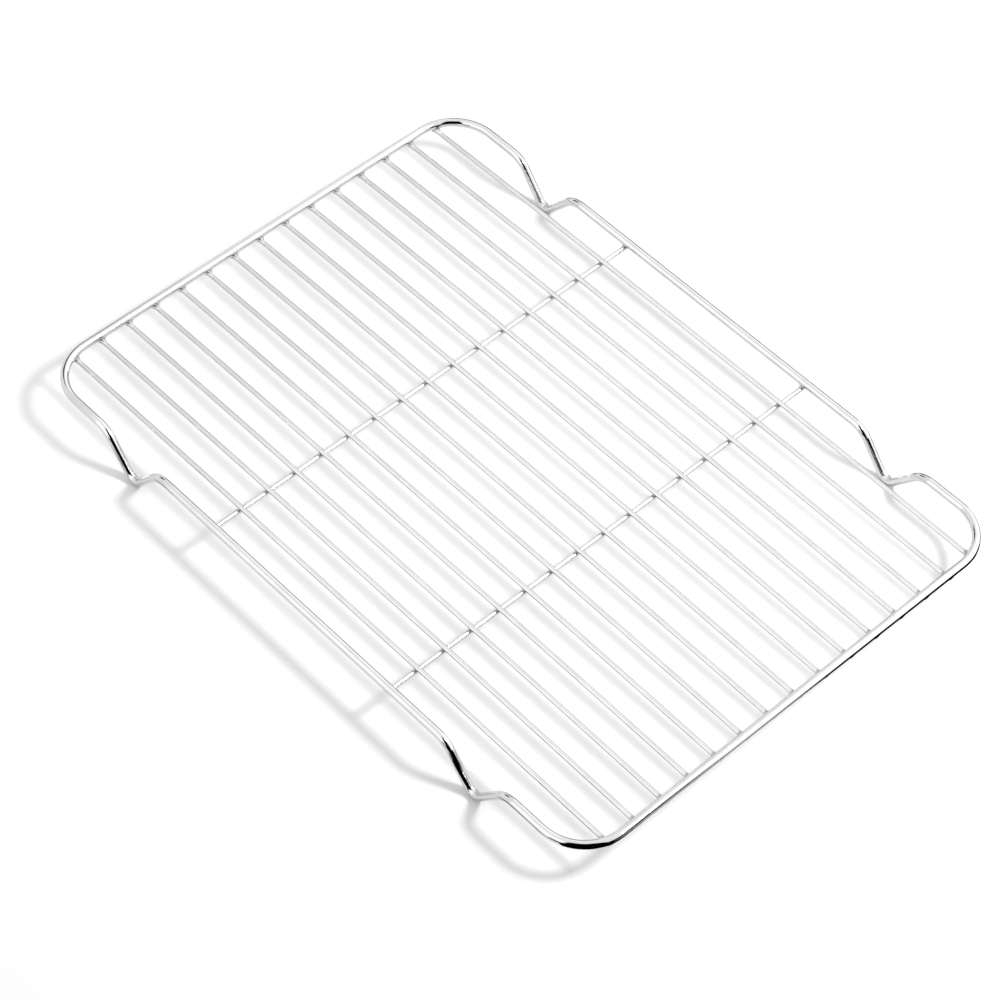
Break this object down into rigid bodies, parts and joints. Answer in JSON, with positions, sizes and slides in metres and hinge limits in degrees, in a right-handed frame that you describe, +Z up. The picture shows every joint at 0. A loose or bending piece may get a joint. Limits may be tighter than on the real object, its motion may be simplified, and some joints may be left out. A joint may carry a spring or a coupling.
{
  "type": "cooling rack",
  "caption": "Rectangular chrome wire cooling rack: parallel long wires on cross wires inside a bent round-wire frame whose V-shaped feet lift it so that air reaches baked goods from below.",
  "frame": {"origin": "middle of the rack's footprint, on the surface that the four feet stand on", "axes": "+X along the rack's length and the long wires, +Y across it along the cross wires, +Z up from the feet to the deck"},
  "size_m": [0.4132, 0.2982, 0.0273],
  "materials": {
    "frame_chrome": "polished",
    "grid_chrome": "polished",
    "cross_chrome": "polished"
  },
  "bodies": {
    "root": {"perimeter_frame": "frame_chrome", "long_wire_01": "grid_chrome", "long_wire_02": "grid_chrome", "long_wire_03": "grid_chrome", "long_wire_04": "grid_chrome", "long_wire_05": "grid_chrome", "long_wire_06": "grid_chrome", "long_wire_07": "grid_chrome", "long_wire_08": "grid_chrome", "long_wire_09": "grid_chrome", "long_wire_10": "grid_chrome", "long_wire_11": "grid_chrome", "long_wire_12": "grid_chrome", "long_wire_13": "grid_chrome", "long_wire_14": "grid_chrome", "long_wire_15": "grid_chrome", "cross_wire_01": "cross_chrome", "cross_wire_02": "cross_chrome"}
  },
  "joints": []
}
